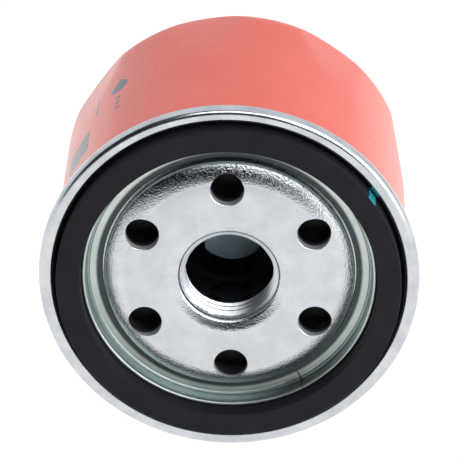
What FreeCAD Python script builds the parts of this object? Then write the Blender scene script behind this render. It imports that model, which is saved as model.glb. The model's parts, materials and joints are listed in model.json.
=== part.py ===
import FreeCAD, Part
import math
import os

# Spin-on oil filter, in millimetres.  The filter lies along +Y: its mounting end faces -Y,
# its domed end faces +Y and +Z is up.  The origin is the centre of the gasket's sealing face.
# Every piece is drawn about a local Z axis, where z is the depth behind the sealing face,
# and is laid down along +Y when it is written.

Vector = FreeCAD.Vector
SPIN_AXIS = Vector(0, 0, 1)
CENTRE = Vector(0, 0, 0)

# Overall sizes
CAN_RADIUS = 35.0              # outside of the painted can
FILTER_DEPTH = 57.0            # sealing face to the top of the dome
CAN_SHEET = 0.45
LID_SHEET = 0.5

# Domed end and its wrench flats
DOME_EDGE_RADIUS = 6.0
DOME_CROWN = 0.8
FLAT_COUNT = 8
FLAT_SINK = 0.85               # how far a flat lies under the can's radius at the dome's edge
FLAT_LENGTH = 13.0             # from the dome's edge to where a flat runs out
FLAT_TURN = -10.0              # degrees clockwise from the top, seen from the mounting end

# Rolled seam
SEAM_WIDTH = 2.5               # how far the seam stands out from the can
SEAM_SETBACK = 2.0             # from the sealing face to the front of the seam
SEAM_DEPTH = 2.9
SEAM_ROUND = 1.1
SEALANT_FILM = 0.4             # between the can's flange and the lid's roll
SEAM_SLACK = 0.03
FLANGE_BEND = 0.95             # axial length of the bend from the can's wall to its flange
FLANGE_BEND_WIDTH = 0.7

# Sealing gasket and its groove in the lid
GASKET_LAND = 1.05             # from the can's radius in to the gasket
GASKET_WIDTH = 4.75
GASKET_HEIGHT = 6.3
GASKET_ROUND = 0.3
GROOVE_SLACK = 0.1
RIDGE_SETBACK = 3.25           # from the sealing face to the crest of the lid's inner ridge
RIDGE_WIDTH = 0.95
RIDGE_STEP_HEIGHT = 0.35
RIDGE_STEP_WIDTH = 0.5
RIDGE_SLACK = 0.1
LID_FOOT_WIDTH = 3.05          # from the ridge in to the lid's opening

# Base plate
PLATE_SHEET = 2.8
PLATE_SETBACK = 3.2            # from the sealing face to the plate's raised centre
PLATE_RISE_SLACK = 0.25        # between the lid's opening and the foot of the raised centre
PLATE_SHOULDER_DROP = 1.8      # from the plate's face to the edge of the raised centre
PLATE_SHOULDER_SLOPE = math.radians(30)
PLATE_SHOULDER_ROUND = 11.0    # long roll from the face into the slope
PLATE_SHOULDER_EDGE_ROUND = 1.0
PLATE_EDGE_SLACK = 0.35
INLET_COUNT = 6
INLET_RADIUS = 3.3
INLET_SETBACK = 5.35           # from the foot of the raised centre to the inlets' circle
INLET_RIM_ROUND = 0.3
INLET_TURN = -1.0              # degrees clockwise from the top, seen from the mounting end

# Threaded collar in the middle of the plate, 3/4-16 UNF
THREAD_MAJOR_RADIUS = 9.525
THREAD_HEIGHT = 0.775
THREAD_PITCH = 25.4 / 16
THREAD_ROOT_FLAT = 0.2
THREAD_CREST_FLAT = 0.3
COLLAR_MOUTH_RELIEF = 0.225    # the mouth clears the thread's root by this much
COLLAR_MOUTH_DEPTH = 1.6       # from the plate's face to the thread's lead-in
COLLAR_MOUTH_ROUND = 1.0
COLLAR_DISH_WIDTH = 2.2        # shallow dish that leads into the mouth
COLLAR_DISH_DEPTH = 0.85
COLLAR_DISH_ROUND = 3.5
COLLAR_LEAD_IN = 0.5
COLLAR_THREAD_LENGTH = 4.0
COLLAR_WALL = 2.85

# Anti-drainback valve
VALVE_HUB_WALL = 2.4
VALVE_WEB = 1.0
VALVE_LIP_REACH = 3.35         # how far the lip lands outside the raised centre
VALVE_LIP_WIDTH = 3.0
VALVE_LIP_PRELOAD_GAP = 0.3    # the web stands off the plate by this much inside the lip
VALVE_SLACK = 0.05
VALVE_LIFT_ROOM = 1.6          # between the web and the end cap
VALVE_HUB_OVERREACH = 1.0      # least that the hub reaches past the collar's inner end

# Filter element
CAP_SHEET = 0.4
ELEMENT_GAP = 4.35             # between the element and the can's wall
CAP_RIM = 3.4
CAP_NECK_CLEARANCE = 0.4       # between the collar's radius and the neck's bore
CAP_NECK_HEIGHT = 2.9
ADHESIVE_DEPTH = 1.6
TUBE_SHEET = 0.5
TUBE_SLACK = 0.05
TUBE_BEAD_DEPTH = 0.5
TUBE_BEAD_HALF_WIDTH = 1.2
PERFORATION_RADIUS = 1.2
PERFORATIONS_PER_ROW = 12
PERFORATION_ROW_STEP = 5.0
PERFORATION_FIRST_ROW = 3.5    # from the middle of the bead
PERFORATION_END_LAND = 3.8     # least from a row to the tube's end
PLEAT_COUNT = 44
PLEAT_TUBE_GAP = 0.65          # between the folds and the centre tube
PLEAT_RIM_GAP = 1.4            # between the folds and the element's radius
PAPER_RADIAL_RUN = 3.2         # between the paper's two faces, along a radius
CLIP_GAP = 1.3
CLIP_SHEET = 0.4
CLIP_LENGTH = 6.0
CLIP_SLACK = 0.05

# Bypass valve in the far end of the element
SEAL_SHEET = 0.7
BYPASS_PORT_RADIUS = 5.0
CAGE_SHEET = 0.5
CAGE_RADIUS = 7.8
CAGE_LENGTH = 14.5
CAGE_HALF_WIDTH = 5.5          # across its two open sides
CAGE_BAND = 2.6                # closed band left under the cage's flange
POPPET_CLEARANCE = 0.7         # between the poppet and the cage's wall
POPPET_SHEET = 0.8
POPPET_BOSS_RADIUS = 3.0
POPPET_BOSS_HEIGHT = 2.6
BYPASS_WIRE_RADIUS = 0.45
BYPASS_COIL_RADIUS = 4.2
BYPASS_COIL_TURNS = 6

# Wire of both coil springs
WIRE_SIDES = 16

# Element spring and its cup
SPRING_ROOM = 14.95            # from the cup's floor to the inside of the dome
CUP_SHEET = 0.5
CUP_SPRING_ROOM = 2.2          # between the spring and the cup's wall
CUP_RIM = 2.8
CUP_NECK_RADIUS = 8.0
CUP_NECK_HEIGHT = 1.8
SPRING_WIRE_RADIUS = 0.8
SPRING_RADIUS = 13.5           # to the middle of the wire
SPRING_TURNS = 3.5
SPRING_END_SLACK = 0.1

# Radii worked out from the sizes
CAN_INNER_RADIUS = CAN_RADIUS - CAN_SHEET
SEAM_RADIUS = CAN_RADIUS + SEAM_WIDTH
GASKET_RADIUS = CAN_RADIUS - GASKET_LAND
GASKET_INNER_RADIUS = GASKET_RADIUS - GASKET_WIDTH
RIDGE_OUTER_RADIUS = GASKET_INNER_RADIUS - RIDGE_SLACK
RIDGE_INNER_RADIUS = RIDGE_OUTER_RADIUS - RIDGE_WIDTH
LID_OPENING_RADIUS = RIDGE_INNER_RADIUS - LID_FOOT_WIDTH
PLATE_RISE_RADIUS = LID_OPENING_RADIUS - PLATE_RISE_SLACK
INLET_CIRCLE_RADIUS = PLATE_RISE_RADIUS - INLET_SETBACK
VALVE_LIP_RADIUS = PLATE_RISE_RADIUS + VALVE_LIP_REACH
THREAD_MINOR_RADIUS = THREAD_MAJOR_RADIUS - THREAD_HEIGHT
COLLAR_MOUTH_RADIUS = THREAD_MAJOR_RADIUS + COLLAR_MOUTH_RELIEF
COLLAR_RADIUS = THREAD_MINOR_RADIUS + COLLAR_WALL
CAP_NECK_RADIUS = COLLAR_RADIUS + CAP_NECK_CLEARANCE
TUBE_INNER_RADIUS = CAP_NECK_RADIUS + CAP_SHEET + TUBE_SLACK
TUBE_RADIUS = TUBE_INNER_RADIUS + TUBE_SHEET
ELEMENT_RADIUS = CAN_INNER_RADIUS - ELEMENT_GAP
PLEAT_INNER_RADIUS = TUBE_RADIUS + PLEAT_TUBE_GAP
PLEAT_OUTER_RADIUS = ELEMENT_RADIUS - PLEAT_RIM_GAP
POPPET_RADIUS = CAGE_RADIUS - CAGE_SHEET - POPPET_CLEARANCE
CUP_RADIUS = SPRING_RADIUS + SPRING_WIRE_RADIUS + CUP_SPRING_ROOM + CUP_SHEET

# Depths worked out from the sizes
SEAM_REAR = SEAM_SETBACK + SEAM_DEPTH
GROOVE_FLOOR = GASKET_HEIGHT
LID_BACK = GROOVE_FLOOR + LID_SHEET
PLATE_CENTRE_BACK = PLATE_SETBACK + PLATE_SHEET
PLATE_RIM_BACK = LID_BACK + PLATE_SHEET
THREAD_START = PLATE_SETBACK + COLLAR_MOUTH_DEPTH + COLLAR_LEAD_IN
COLLAR_END = THREAD_START + COLLAR_THREAD_LENGTH
VALVE_WEB_BACK = PLATE_RIM_BACK + VALVE_LIP_PRELOAD_GAP + VALVE_WEB
CAP_FRONT = max(VALVE_WEB_BACK + VALVE_LIFT_ROOM, COLLAR_END + VALVE_HUB_OVERREACH)
CUP_BACK = FILTER_DEPTH - CAN_SHEET - SPRING_ROOM
CAP_BACK = CUP_BACK - CUP_SHEET
TUBE_FRONT = CAP_FRONT + CAP_SHEET
SEAL_BACK = CAP_BACK - CAP_SHEET
SEAL_FRONT = SEAL_BACK - SEAL_SHEET
CAGE_FLANGE_FRONT = SEAL_FRONT - CAGE_SHEET
CAGE_END = SEAL_FRONT - CAGE_LENGTH
TUBE_BEAD_MIDDLE = (TUBE_FRONT + CAGE_FLANGE_FRONT) / 2


def corner_arc(before, corner, after, radius):
    """Give the two tangent points and the middle point of a rounded corner."""
    to_before = (before - corner).normalize()
    to_after = (after - corner).normalize()
    half_angle = to_before.getAngle(to_after) / 2
    run = radius / math.tan(half_angle)
    reach = radius / math.sin(half_angle) - radius
    middle_way = (to_before + to_after).normalize()
    start = corner + to_before * run
    end = corner + to_after * run
    return start, corner + middle_way * reach, end


def outline_face(corners):
    """Make a face in the XZ plane from (radius, depth) or (radius, depth, rounding) corners."""
    points = [Vector(corner[0], 0, corner[1]) for corner in corners]
    roundings = [corner[2] if len(corner) > 2 else 0 for corner in corners]
    stops = []
    for index, point in enumerate(points):
        if roundings[index] > 0:
            after = points[(index + 1) % len(points)]
            stops.append(corner_arc(points[index - 1], point, after, roundings[index]))
        else:
            stops.append((point, None, point))
    edges = []
    for index, (start, middle, end) in enumerate(stops):
        if middle is not None:
            edges.append(Part.Arc(start, middle, end).toShape())
        next_start = stops[(index + 1) % len(stops)][0]
        if end.distanceToPoint(next_start) > 1e-6:
            edges.append(Part.makeLine(end, next_start))
    return Part.Face(Part.Wire(edges))


def spun(corners):
    """Spin an outline about the filter's axis."""
    return outline_face(corners).revolve(CENTRE, SPIN_AXIS, 360)


def spun_ring(inner_radius, outer_radius, front, back, rounding=0):
    """Make a plain ring, or a disc when the inner radius is zero."""
    return spun([
        (inner_radius, front, rounding),
        (outer_radius, front, rounding),
        (outer_radius, back, rounding),
        (inner_radius, back, rounding),
    ])


def turned(shape, degrees):
    """Turn a copy about the axis, clockwise as seen from the mounting end."""
    copy = shape.copy()
    copy.rotate(CENTRE, SPIN_AXIS, degrees)
    return copy


def around(shape, count, first_angle=0):
    """Repeat a shape evenly about the axis."""
    step = 360 / count
    return [turned(shape, first_angle + step * index) for index in range(count)]


def wire_section(centre, along, radius):
    """Make a wire's section, a polygon of WIRE_SIDES sides, across the direction along."""
    sideways = along.cross(SPIN_AXIS).normalize()
    upward = sideways.cross(along).normalize()
    corners = []
    for index in range(WIRE_SIDES):
        angle = 2 * math.pi * index / WIRE_SIDES
        across = sideways * math.cos(angle) + upward * math.sin(angle)
        corners.append(centre + across * radius)
    return Part.makePolygon(corners + [corners[0]])


def coil(wire_radius, radius, front, back, turns):
    """Sweep a wire along a helix whose outside just fills front to back."""
    height = back - front - 2 * wire_radius
    path = Part.makeHelix(height / turns, height, radius)
    path.translate(Vector(0, 0, front + wire_radius))
    first_edge = path.Edges[0]
    start = first_edge.valueAt(first_edge.FirstParameter)
    along = first_edge.tangentAt(first_edge.FirstParameter)
    section = wire_section(start, along, wire_radius)
    return Part.Wire(path.Edges).makePipeShell([section], True, True)


def dome_body(radius, edge_radius, front, top):
    """Make the solid of revolution under the can's outer or inner surface."""
    edge_start = Vector(radius, 0, top - DOME_CROWN - edge_radius)
    edge_end = Vector(radius - edge_radius, 0, top - DOME_CROWN)
    edge_centre = Vector(radius - edge_radius, 0, top - DOME_CROWN - edge_radius)
    diagonal = Vector(1, 0, 1).normalize() * edge_radius
    crown_radius = (edge_end.x ** 2 + DOME_CROWN ** 2) / (2 * DOME_CROWN)
    middle_drop = crown_radius - math.sqrt(crown_radius ** 2 - edge_end.x ** 2 / 4)
    crown_middle = Vector(edge_end.x / 2, 0, top - middle_drop)
    foot = Vector(radius, 0, front)
    foot_centre = Vector(0, 0, front)
    peak = Vector(0, 0, top)
    outline = Part.Wire([
        Part.makeLine(foot_centre, foot),
        Part.makeLine(foot, edge_start),
        Part.Arc(edge_start, edge_centre + diagonal, edge_end).toShape(),
        Part.Arc(edge_end, crown_middle, peak).toShape(),
        Part.makeLine(peak, foot_centre),
    ])
    return Part.Face(outline).revolve(CENTRE, SPIN_AXIS, 360)


def flat_cutters(sheet_offset):
    """Make the blocks that leave the wrench flats, moved in by the sheet for the inside."""
    edge_depth = FILTER_DEPTH - DOME_CROWN - DOME_EDGE_RADIUS
    block_height = FLAT_LENGTH + DOME_EDGE_RADIUS + DOME_CROWN
    block = Part.makeBox(2 * CAN_RADIUS, CAN_RADIUS, 2 * block_height)
    block.translate(Vector(-CAN_RADIUS, -CAN_RADIUS, 0))
    tilt = math.degrees(math.atan2(FLAT_SINK, FLAT_LENGTH))
    block.rotate(CENTRE, Vector(1, 0, 0), -tilt)
    block.translate(Vector(0, sheet_offset - CAN_RADIUS, edge_depth - FLAT_LENGTH))
    return around(block, FLAT_COUNT, FLAT_TURN)


def can_body(radius, edge_radius, front, top, sheet_offset):
    """Make the can's outer or inner form with its wrench flats."""
    form = dome_body(radius, edge_radius, front, top)
    return form.cut(flat_cutters(sheet_offset))


def canister():
    """Painted can: straight wall, domed end with flats, flange hooked into the seam."""
    hook_front = SEAM_SETBACK + LID_SHEET
    hook_radius = SEAM_RADIUS - LID_SHEET - SEALANT_FILM
    hook_rear = SEAM_REAR - LID_SHEET - 0.3
    wall_front = hook_front + FLANGE_BEND
    outside = can_body(CAN_RADIUS, DOME_EDGE_RADIUS, wall_front, FILTER_DEPTH, 0)
    inside = can_body(CAN_INNER_RADIUS, DOME_EDGE_RADIUS - CAN_SHEET, wall_front,
                      FILTER_DEPTH - CAN_SHEET, CAN_SHEET)
    flange = spun([
        (CAN_INNER_RADIUS, wall_front),
        (CAN_INNER_RADIUS + FLANGE_BEND_WIDTH, hook_front),
        (hook_radius, hook_front),
        (hook_radius, hook_rear),
        (hook_radius - CAN_SHEET, hook_rear),
        (hook_radius - CAN_SHEET, hook_front + CAN_SHEET),
        (CAN_RADIUS + 0.45, hook_front + CAN_SHEET),
        (CAN_RADIUS, wall_front),
    ])
    return outside.cut(inside).fuse(flange).removeSplitter()


def seaming_lid():
    """Thin lid: foot welded to the plate, inner ridge, gasket groove and rolled seam."""
    groove_wall_radius = GASKET_RADIUS + GROOVE_SLACK
    roll_inner_radius = SEAM_RADIUS - LID_SHEET
    hook_front = SEAM_SETBACK + LID_SHEET
    tail_radius = CAN_RADIUS + SEAM_SLACK
    tail_front = hook_front + FLANGE_BEND + SEAM_SLACK
    step_front = GROOVE_FLOOR - RIDGE_STEP_HEIGHT
    return spun([
        (LID_OPENING_RADIUS, GROOVE_FLOOR, 0.15),
        (RIDGE_INNER_RADIUS - RIDGE_STEP_WIDTH, GROOVE_FLOOR, 0.3),
        (RIDGE_INNER_RADIUS - RIDGE_STEP_WIDTH + 0.1, step_front, 0.12),
        (RIDGE_INNER_RADIUS, step_front, 0.12),
        (RIDGE_INNER_RADIUS + 0.2, RIDGE_SETBACK, 0.4),
        (RIDGE_OUTER_RADIUS, RIDGE_SETBACK, 0.3),
        (RIDGE_OUTER_RADIUS, GROOVE_FLOOR, 0.2),
        (groove_wall_radius, GROOVE_FLOOR, 0.4),
        (groove_wall_radius, SEAM_SETBACK + 1.6, 0.6),
        (CAN_RADIUS - 0.1, SEAM_SETBACK, 0.3),
        (SEAM_RADIUS, SEAM_SETBACK, SEAM_ROUND),
        (SEAM_RADIUS, SEAM_REAR, SEAM_ROUND),
        (tail_radius, SEAM_REAR, 0.2),
        (tail_radius, tail_front),
        (tail_radius + LID_SHEET, tail_front),
        (tail_radius + LID_SHEET, SEAM_REAR - LID_SHEET),
        (roll_inner_radius, SEAM_REAR - LID_SHEET, 0.5),
        (roll_inner_radius, hook_front, 0.5),
        (CAN_INNER_RADIUS + FLANGE_BEND_WIDTH, hook_front),
        (CAN_INNER_RADIUS, hook_front + FLANGE_BEND),
        (CAN_INNER_RADIUS, LID_BACK, 0.6),
        (LID_OPENING_RADIUS, LID_BACK, 0.15),
    ])


def seam_sealant(can, lid):
    """Sealing compound that fills the seam between the can's hook and the lid's roll."""
    filling = spun_ring(CAN_RADIUS + SEAM_SLACK, SEAM_RADIUS - LID_SHEET,
                        SEAM_SETBACK + LID_SHEET, SEAM_REAR - LID_SHEET)
    return largest_solid(filling.cut([can, lid]))


def largest_solid(shape):
    """Keep the main body of a cut and drop the slivers beside it."""
    return max(shape.Solids, key=lambda solid: solid.Volume)


def thread_groove():
    """Make the helical cutter for the collar's internal thread."""
    over_run = THREAD_PITCH
    height = COLLAR_THREAD_LENGTH + COLLAR_LEAD_IN + 2 * over_run
    base = THREAD_START - COLLAR_LEAD_IN - over_run
    root_half = THREAD_ROOT_FLAT / 2
    crest_half = (THREAD_PITCH - THREAD_CREST_FLAT) / 2
    flank_slope = (crest_half - root_half) / (THREAD_MAJOR_RADIUS - THREAD_MINOR_RADIUS)
    inset = 0.1
    mouth_half = crest_half + flank_slope * inset
    path = Part.makeHelix(THREAD_PITCH, height, THREAD_MINOR_RADIUS)
    path.translate(Vector(0, 0, base))
    inner = THREAD_MINOR_RADIUS - inset
    section = Part.makePolygon([
        Vector(inner, 0, base - mouth_half),
        Vector(THREAD_MAJOR_RADIUS, 0, base - root_half),
        Vector(THREAD_MAJOR_RADIUS, 0, base + root_half),
        Vector(inner, 0, base + mouth_half),
        Vector(inner, 0, base - mouth_half),
    ])
    return Part.Wire(path.Edges).makePipeShell([section], True, True)


def inlet_cutter():
    """Make the cutter for one inlet hole with its rolled front rim."""
    front = PLATE_SETBACK
    rim = INLET_RIM_ROUND
    through = spun_ring(0, INLET_RADIUS, front - 1, PLATE_RIM_BACK + 1)
    flare = spun_ring(0, INLET_RADIUS + rim, front - 1, front + rim)
    roll = spun([
        (INLET_RADIUS + rim, front),
        (INLET_RADIUS + rim, front + 2 * rim),
        (INLET_RADIUS, front + 2 * rim),
        (INLET_RADIUS, front, rim * 0.99),
    ])
    cutter = through.fuse(flare.cut(roll))
    cutter.translate(Vector(0, -INLET_CIRCLE_RADIUS, 0))
    return cutter


def base_plate():
    """Thick plate: raised centre with six inlets and an inward collar with the thread."""
    plate_radius = CAN_INNER_RADIUS - PLATE_EDGE_SLACK
    recess_radius = PLATE_RISE_RADIUS - PLATE_SHEET
    slope_radius = PLATE_RISE_RADIUS - PLATE_SHOULDER_DROP / math.tan(PLATE_SHOULDER_SLOPE)
    edge_depth = PLATE_SETBACK + PLATE_SHOULDER_DROP
    plate = spun([
        (COLLAR_MOUTH_RADIUS + COLLAR_DISH_WIDTH, PLATE_SETBACK, COLLAR_DISH_ROUND),
        (COLLAR_MOUTH_RADIUS, PLATE_SETBACK + COLLAR_DISH_DEPTH, COLLAR_MOUTH_ROUND),
        (COLLAR_MOUTH_RADIUS, THREAD_START - COLLAR_LEAD_IN + 0.02),
        (THREAD_MINOR_RADIUS, THREAD_START),
        (THREAD_MINOR_RADIUS, COLLAR_END),
        (COLLAR_RADIUS, COLLAR_END, 0.5),
        (COLLAR_RADIUS, PLATE_CENTRE_BACK, 0.8),
        (recess_radius, PLATE_CENTRE_BACK, 0.3),
        (recess_radius, PLATE_RIM_BACK, 1.5),
        (plate_radius, PLATE_RIM_BACK, 0.4),
        (plate_radius, LID_BACK, 0.4),
        (PLATE_RISE_RADIUS, LID_BACK),
        (PLATE_RISE_RADIUS, edge_depth, PLATE_SHOULDER_EDGE_ROUND),
        (slope_radius, PLATE_SETBACK, PLATE_SHOULDER_ROUND),
    ])
    plate = plate.cut(around(inlet_cutter(), INLET_COUNT, INLET_TURN))
    return plate.cut(thread_groove())


def sealing_gasket():
    """Square-section rubber ring that seals on the engine's face."""
    return spun_ring(GASKET_INNER_RADIUS, GASKET_RADIUS, 0, GASKET_HEIGHT, GASKET_ROUND)


def drainback_valve():
    """Rubber valve: hub on the collar, and a web whose lip closes on the plate's rim."""
    hub_inner = COLLAR_RADIUS + VALVE_SLACK
    hub_outer = hub_inner + VALVE_HUB_WALL
    web_front = PLATE_RIM_BACK + VALVE_LIP_PRELOAD_GAP
    lip_inner = VALVE_LIP_RADIUS - VALVE_LIP_WIDTH
    return spun([
        (hub_inner, PLATE_CENTRE_BACK + 0.85, 0.3),
        (hub_outer, PLATE_CENTRE_BACK + 0.85, 0.4),
        (hub_outer, web_front, 0.8),
        (lip_inner - 0.4, web_front, 0.2),
        (lip_inner, PLATE_RIM_BACK, 0.2),
        (VALVE_LIP_RADIUS, PLATE_RIM_BACK, 0.2),
        (VALVE_LIP_RADIUS, PLATE_RIM_BACK + VALVE_WEB * 0.7, 0.3),
        (hub_outer + 0.4, VALVE_WEB_BACK, 0.6),
        (hub_outer, CAP_FRONT, 0.4),
        (hub_inner, CAP_FRONT, 0.3),
    ])


def lower_end_cap():
    """Pressed cap at the element's mounting end, with a neck inside the centre tube."""
    return spun([
        (CAP_NECK_RADIUS, CAP_FRONT, 0.5),
        (ELEMENT_RADIUS, CAP_FRONT, 0.7),
        (ELEMENT_RADIUS, CAP_FRONT + CAP_RIM),
        (ELEMENT_RADIUS - CAP_SHEET, CAP_FRONT + CAP_RIM),
        (ELEMENT_RADIUS - CAP_SHEET, CAP_FRONT + CAP_SHEET),
        (CAP_NECK_RADIUS + CAP_SHEET, CAP_FRONT + CAP_SHEET),
        (CAP_NECK_RADIUS + CAP_SHEET, CAP_FRONT + CAP_NECK_HEIGHT),
        (CAP_NECK_RADIUS, CAP_FRONT + CAP_NECK_HEIGHT),
    ])


def upper_end_cap():
    """Pressed cap at the element's domed end, with the bypass port in its middle."""
    return spun([
        (BYPASS_PORT_RADIUS, CAP_BACK),
        (BYPASS_PORT_RADIUS, CAP_BACK - CAP_SHEET),
        (ELEMENT_RADIUS - CAP_SHEET, CAP_BACK - CAP_SHEET),
        (ELEMENT_RADIUS - CAP_SHEET, CAP_BACK - CAP_RIM),
        (ELEMENT_RADIUS, CAP_BACK - CAP_RIM),
        (ELEMENT_RADIUS, CAP_BACK, 0.7),
    ])


def center_tube():
    """Perforated steel tube with a stiffening bead rolled into it."""
    back = CAGE_FLANGE_FRONT
    bead = TUBE_BEAD_MIDDLE
    half = TUBE_BEAD_HALF_WIDTH
    tube = spun([
        (TUBE_INNER_RADIUS, TUBE_FRONT),
        (TUBE_RADIUS, TUBE_FRONT),
        (TUBE_RADIUS, bead - half, 0.4),
        (TUBE_RADIUS - TUBE_BEAD_DEPTH, bead, 0.5),
        (TUBE_RADIUS, bead + half, 0.4),
        (TUBE_RADIUS, back),
        (TUBE_INNER_RADIUS, back),
        (TUBE_INNER_RADIUS, bead + half, 0.4),
        (TUBE_INNER_RADIUS - TUBE_BEAD_DEPTH, bead, 0.5),
        (TUBE_INNER_RADIUS, bead - half, 0.4),
    ])
    row_span = back - bead - PERFORATION_FIRST_ROW - PERFORATION_END_LAND
    rows_per_side = 1 + math.floor(row_span / PERFORATION_ROW_STEP)
    drills = []
    for side in (-1, 1):
        for row in range(rows_per_side):
            depth = bead + side * (PERFORATION_FIRST_ROW + row * PERFORATION_ROW_STEP)
            drill = Part.makeCylinder(PERFORATION_RADIUS, TUBE_RADIUS + 2,
                                      Vector(0, 0, depth), Vector(0, -1, 0))
            half_step = 180 / PERFORATIONS_PER_ROW
            drills += around(drill, PERFORATIONS_PER_ROW, half_step)
    return tube.cut(drills)


def media_span():
    """Give the front and back of the media, between the two beds of adhesive."""
    front = CAP_FRONT + CAP_SHEET + ADHESIVE_DEPTH
    back = CAP_BACK - CAP_SHEET - ADHESIVE_DEPTH
    return front, back


def media_seam_clip():
    """Folded metal strip that grips the two ends of the paper on the outside of one pleat."""
    front, back = media_span()
    clip_width = CLIP_GAP + 2 * CLIP_SHEET
    outer = PLEAT_OUTER_RADIUS + CLIP_SHEET
    strip = Part.makeBox(clip_width, CLIP_LENGTH, back - front)
    strip.translate(Vector(-clip_width / 2, -outer, front))
    slot = Part.makeBox(clip_width - 2 * CLIP_SHEET, CLIP_LENGTH, back - front)
    slot.translate(Vector(CLIP_SHEET - clip_width / 2, CLIP_SHEET - outer, front))
    return strip.cut(slot)


def pleat_star(inner_radius, outer_radius):
    """Make a star whose points and valleys are the folds of the paper."""
    half_step = math.pi / PLEAT_COUNT
    corners = []
    for index in range(2 * PLEAT_COUNT):
        radius = outer_radius if index % 2 else inner_radius
        angle = index * half_step
        corners.append(Vector(radius * math.sin(angle), radius * math.cos(angle), 0))
    return Part.Face(Part.makePolygon(corners + [corners[0]]))


def pleated_media():
    """Filter paper folded into a star, cut back where the seam clip grips it."""
    front, back = media_span()
    outside = pleat_star(PLEAT_INNER_RADIUS + PAPER_RADIAL_RUN, PLEAT_OUTER_RADIUS)
    inside = pleat_star(PLEAT_INNER_RADIUS, PLEAT_OUTER_RADIUS - PAPER_RADIAL_RUN)
    ring = outside.cut(inside)
    media = ring.extrude(Vector(0, 0, back - front))
    media.translate(Vector(0, 0, front))
    room_width = CLIP_GAP + 2 * CLIP_SHEET + 2 * CLIP_SLACK
    room = Part.makeBox(room_width, CLIP_LENGTH + 1, back - front)
    room.translate(Vector(-room_width / 2, -PLEAT_OUTER_RADIUS - 1, front))
    return largest_solid(media.cut(room))


def adhesive_bed(front):
    """Make the ring of adhesive that bonds the paper and the tube to an end cap."""
    return spun_ring(TUBE_RADIUS + TUBE_SLACK, ELEMENT_RADIUS - CAP_SHEET - 0.1,
                     front, front + ADHESIVE_DEPTH)


def bypass_valve_seal():
    """Rubber washer under the upper end cap, on which the poppet closes."""
    return spun_ring(BYPASS_PORT_RADIUS, TUBE_RADIUS, SEAL_FRONT, SEAL_BACK)


def bypass_valve_cage():
    """Pressed cage that holds the bypass spring, open on its left and right sides."""
    inner = CAGE_RADIUS - CAGE_SHEET
    cage = spun([
        (0, CAGE_END),
        (CAGE_RADIUS, CAGE_END, 0.6),
        (CAGE_RADIUS, CAGE_FLANGE_FRONT, 0.3),
        (TUBE_RADIUS, CAGE_FLANGE_FRONT),
        (TUBE_RADIUS, SEAL_FRONT),
        (inner, SEAL_FRONT, 0.5),
        (inner, CAGE_END + CAGE_SHEET, 0.2),
        (0, CAGE_END + CAGE_SHEET),
    ])
    window_height = CAGE_FLANGE_FRONT - CAGE_BAND - CAGE_END + 1
    for side in (-1, 1):
        window = Part.makeBox(CAGE_RADIUS, 4 * CAGE_RADIUS, window_height)
        near_edge = CAGE_HALF_WIDTH if side > 0 else -CAGE_HALF_WIDTH - CAGE_RADIUS
        window.translate(Vector(near_edge, -2 * CAGE_RADIUS, CAGE_END - 1))
        cage = cage.cut(window)
    return cage


def bypass_valve_poppet():
    """Round valve plate with a boss that centres its spring."""
    face = SEAL_FRONT - POPPET_SHEET
    boss_end = face - POPPET_BOSS_HEIGHT
    return spun([
        (0, SEAL_FRONT),
        (0, boss_end),
        (POPPET_BOSS_RADIUS, boss_end, 0.4),
        (POPPET_BOSS_RADIUS, face, 0.3),
        (POPPET_RADIUS, face, 0.2),
        (POPPET_RADIUS, SEAL_FRONT, 0.2),
    ])


def bypass_valve_spring():
    """Coil spring between the cage's end and the poppet."""
    return coil(BYPASS_WIRE_RADIUS, BYPASS_COIL_RADIUS,
                CAGE_END + CAGE_SHEET, SEAL_FRONT - POPPET_SHEET, BYPASS_COIL_TURNS)


def element_spring_cup():
    """Pressed cup on the upper end cap that centres the element spring."""
    return spun([
        (CUP_NECK_RADIUS, CAP_BACK, 0.5),
        (CUP_RADIUS, CAP_BACK, 0.7),
        (CUP_RADIUS, CAP_BACK + CUP_RIM),
        (CUP_RADIUS - CUP_SHEET, CAP_BACK + CUP_RIM),
        (CUP_RADIUS - CUP_SHEET, CUP_BACK, 0.2),
        (CUP_NECK_RADIUS + CUP_SHEET, CUP_BACK, 0.2),
        (CUP_NECK_RADIUS + CUP_SHEET, CAP_BACK + CUP_NECK_HEIGHT),
        (CUP_NECK_RADIUS, CAP_BACK + CUP_NECK_HEIGHT),
    ])


def element_spring():
    """Coil spring that pushes the element against the mounting end."""
    outer_radius = SPRING_RADIUS + SPRING_WIRE_RADIUS
    crown_drop = DOME_CROWN * (outer_radius / (CAN_RADIUS - DOME_EDGE_RADIUS)) ** 2
    dome_inside = FILTER_DEPTH - CAN_SHEET - crown_drop
    return coil(SPRING_WIRE_RADIUS, SPRING_RADIUS, CUP_BACK,
                dome_inside - SPRING_END_SLACK, SPRING_TURNS)


def write_piece(name, shape):
    """Lay a piece down along +Y and write it as one STEP file."""
    laid = shape.copy()
    laid.rotate(CENTRE, Vector(1, 0, 0), -90)
    laid.exportStep(os.path.join("parts", name + ".step"))
    solids = len(laid.Solids)
    print(f"{name}: {solids} solid(s), {laid.Volume:.1f} mm3, valid {laid.isValid()}")


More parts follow.
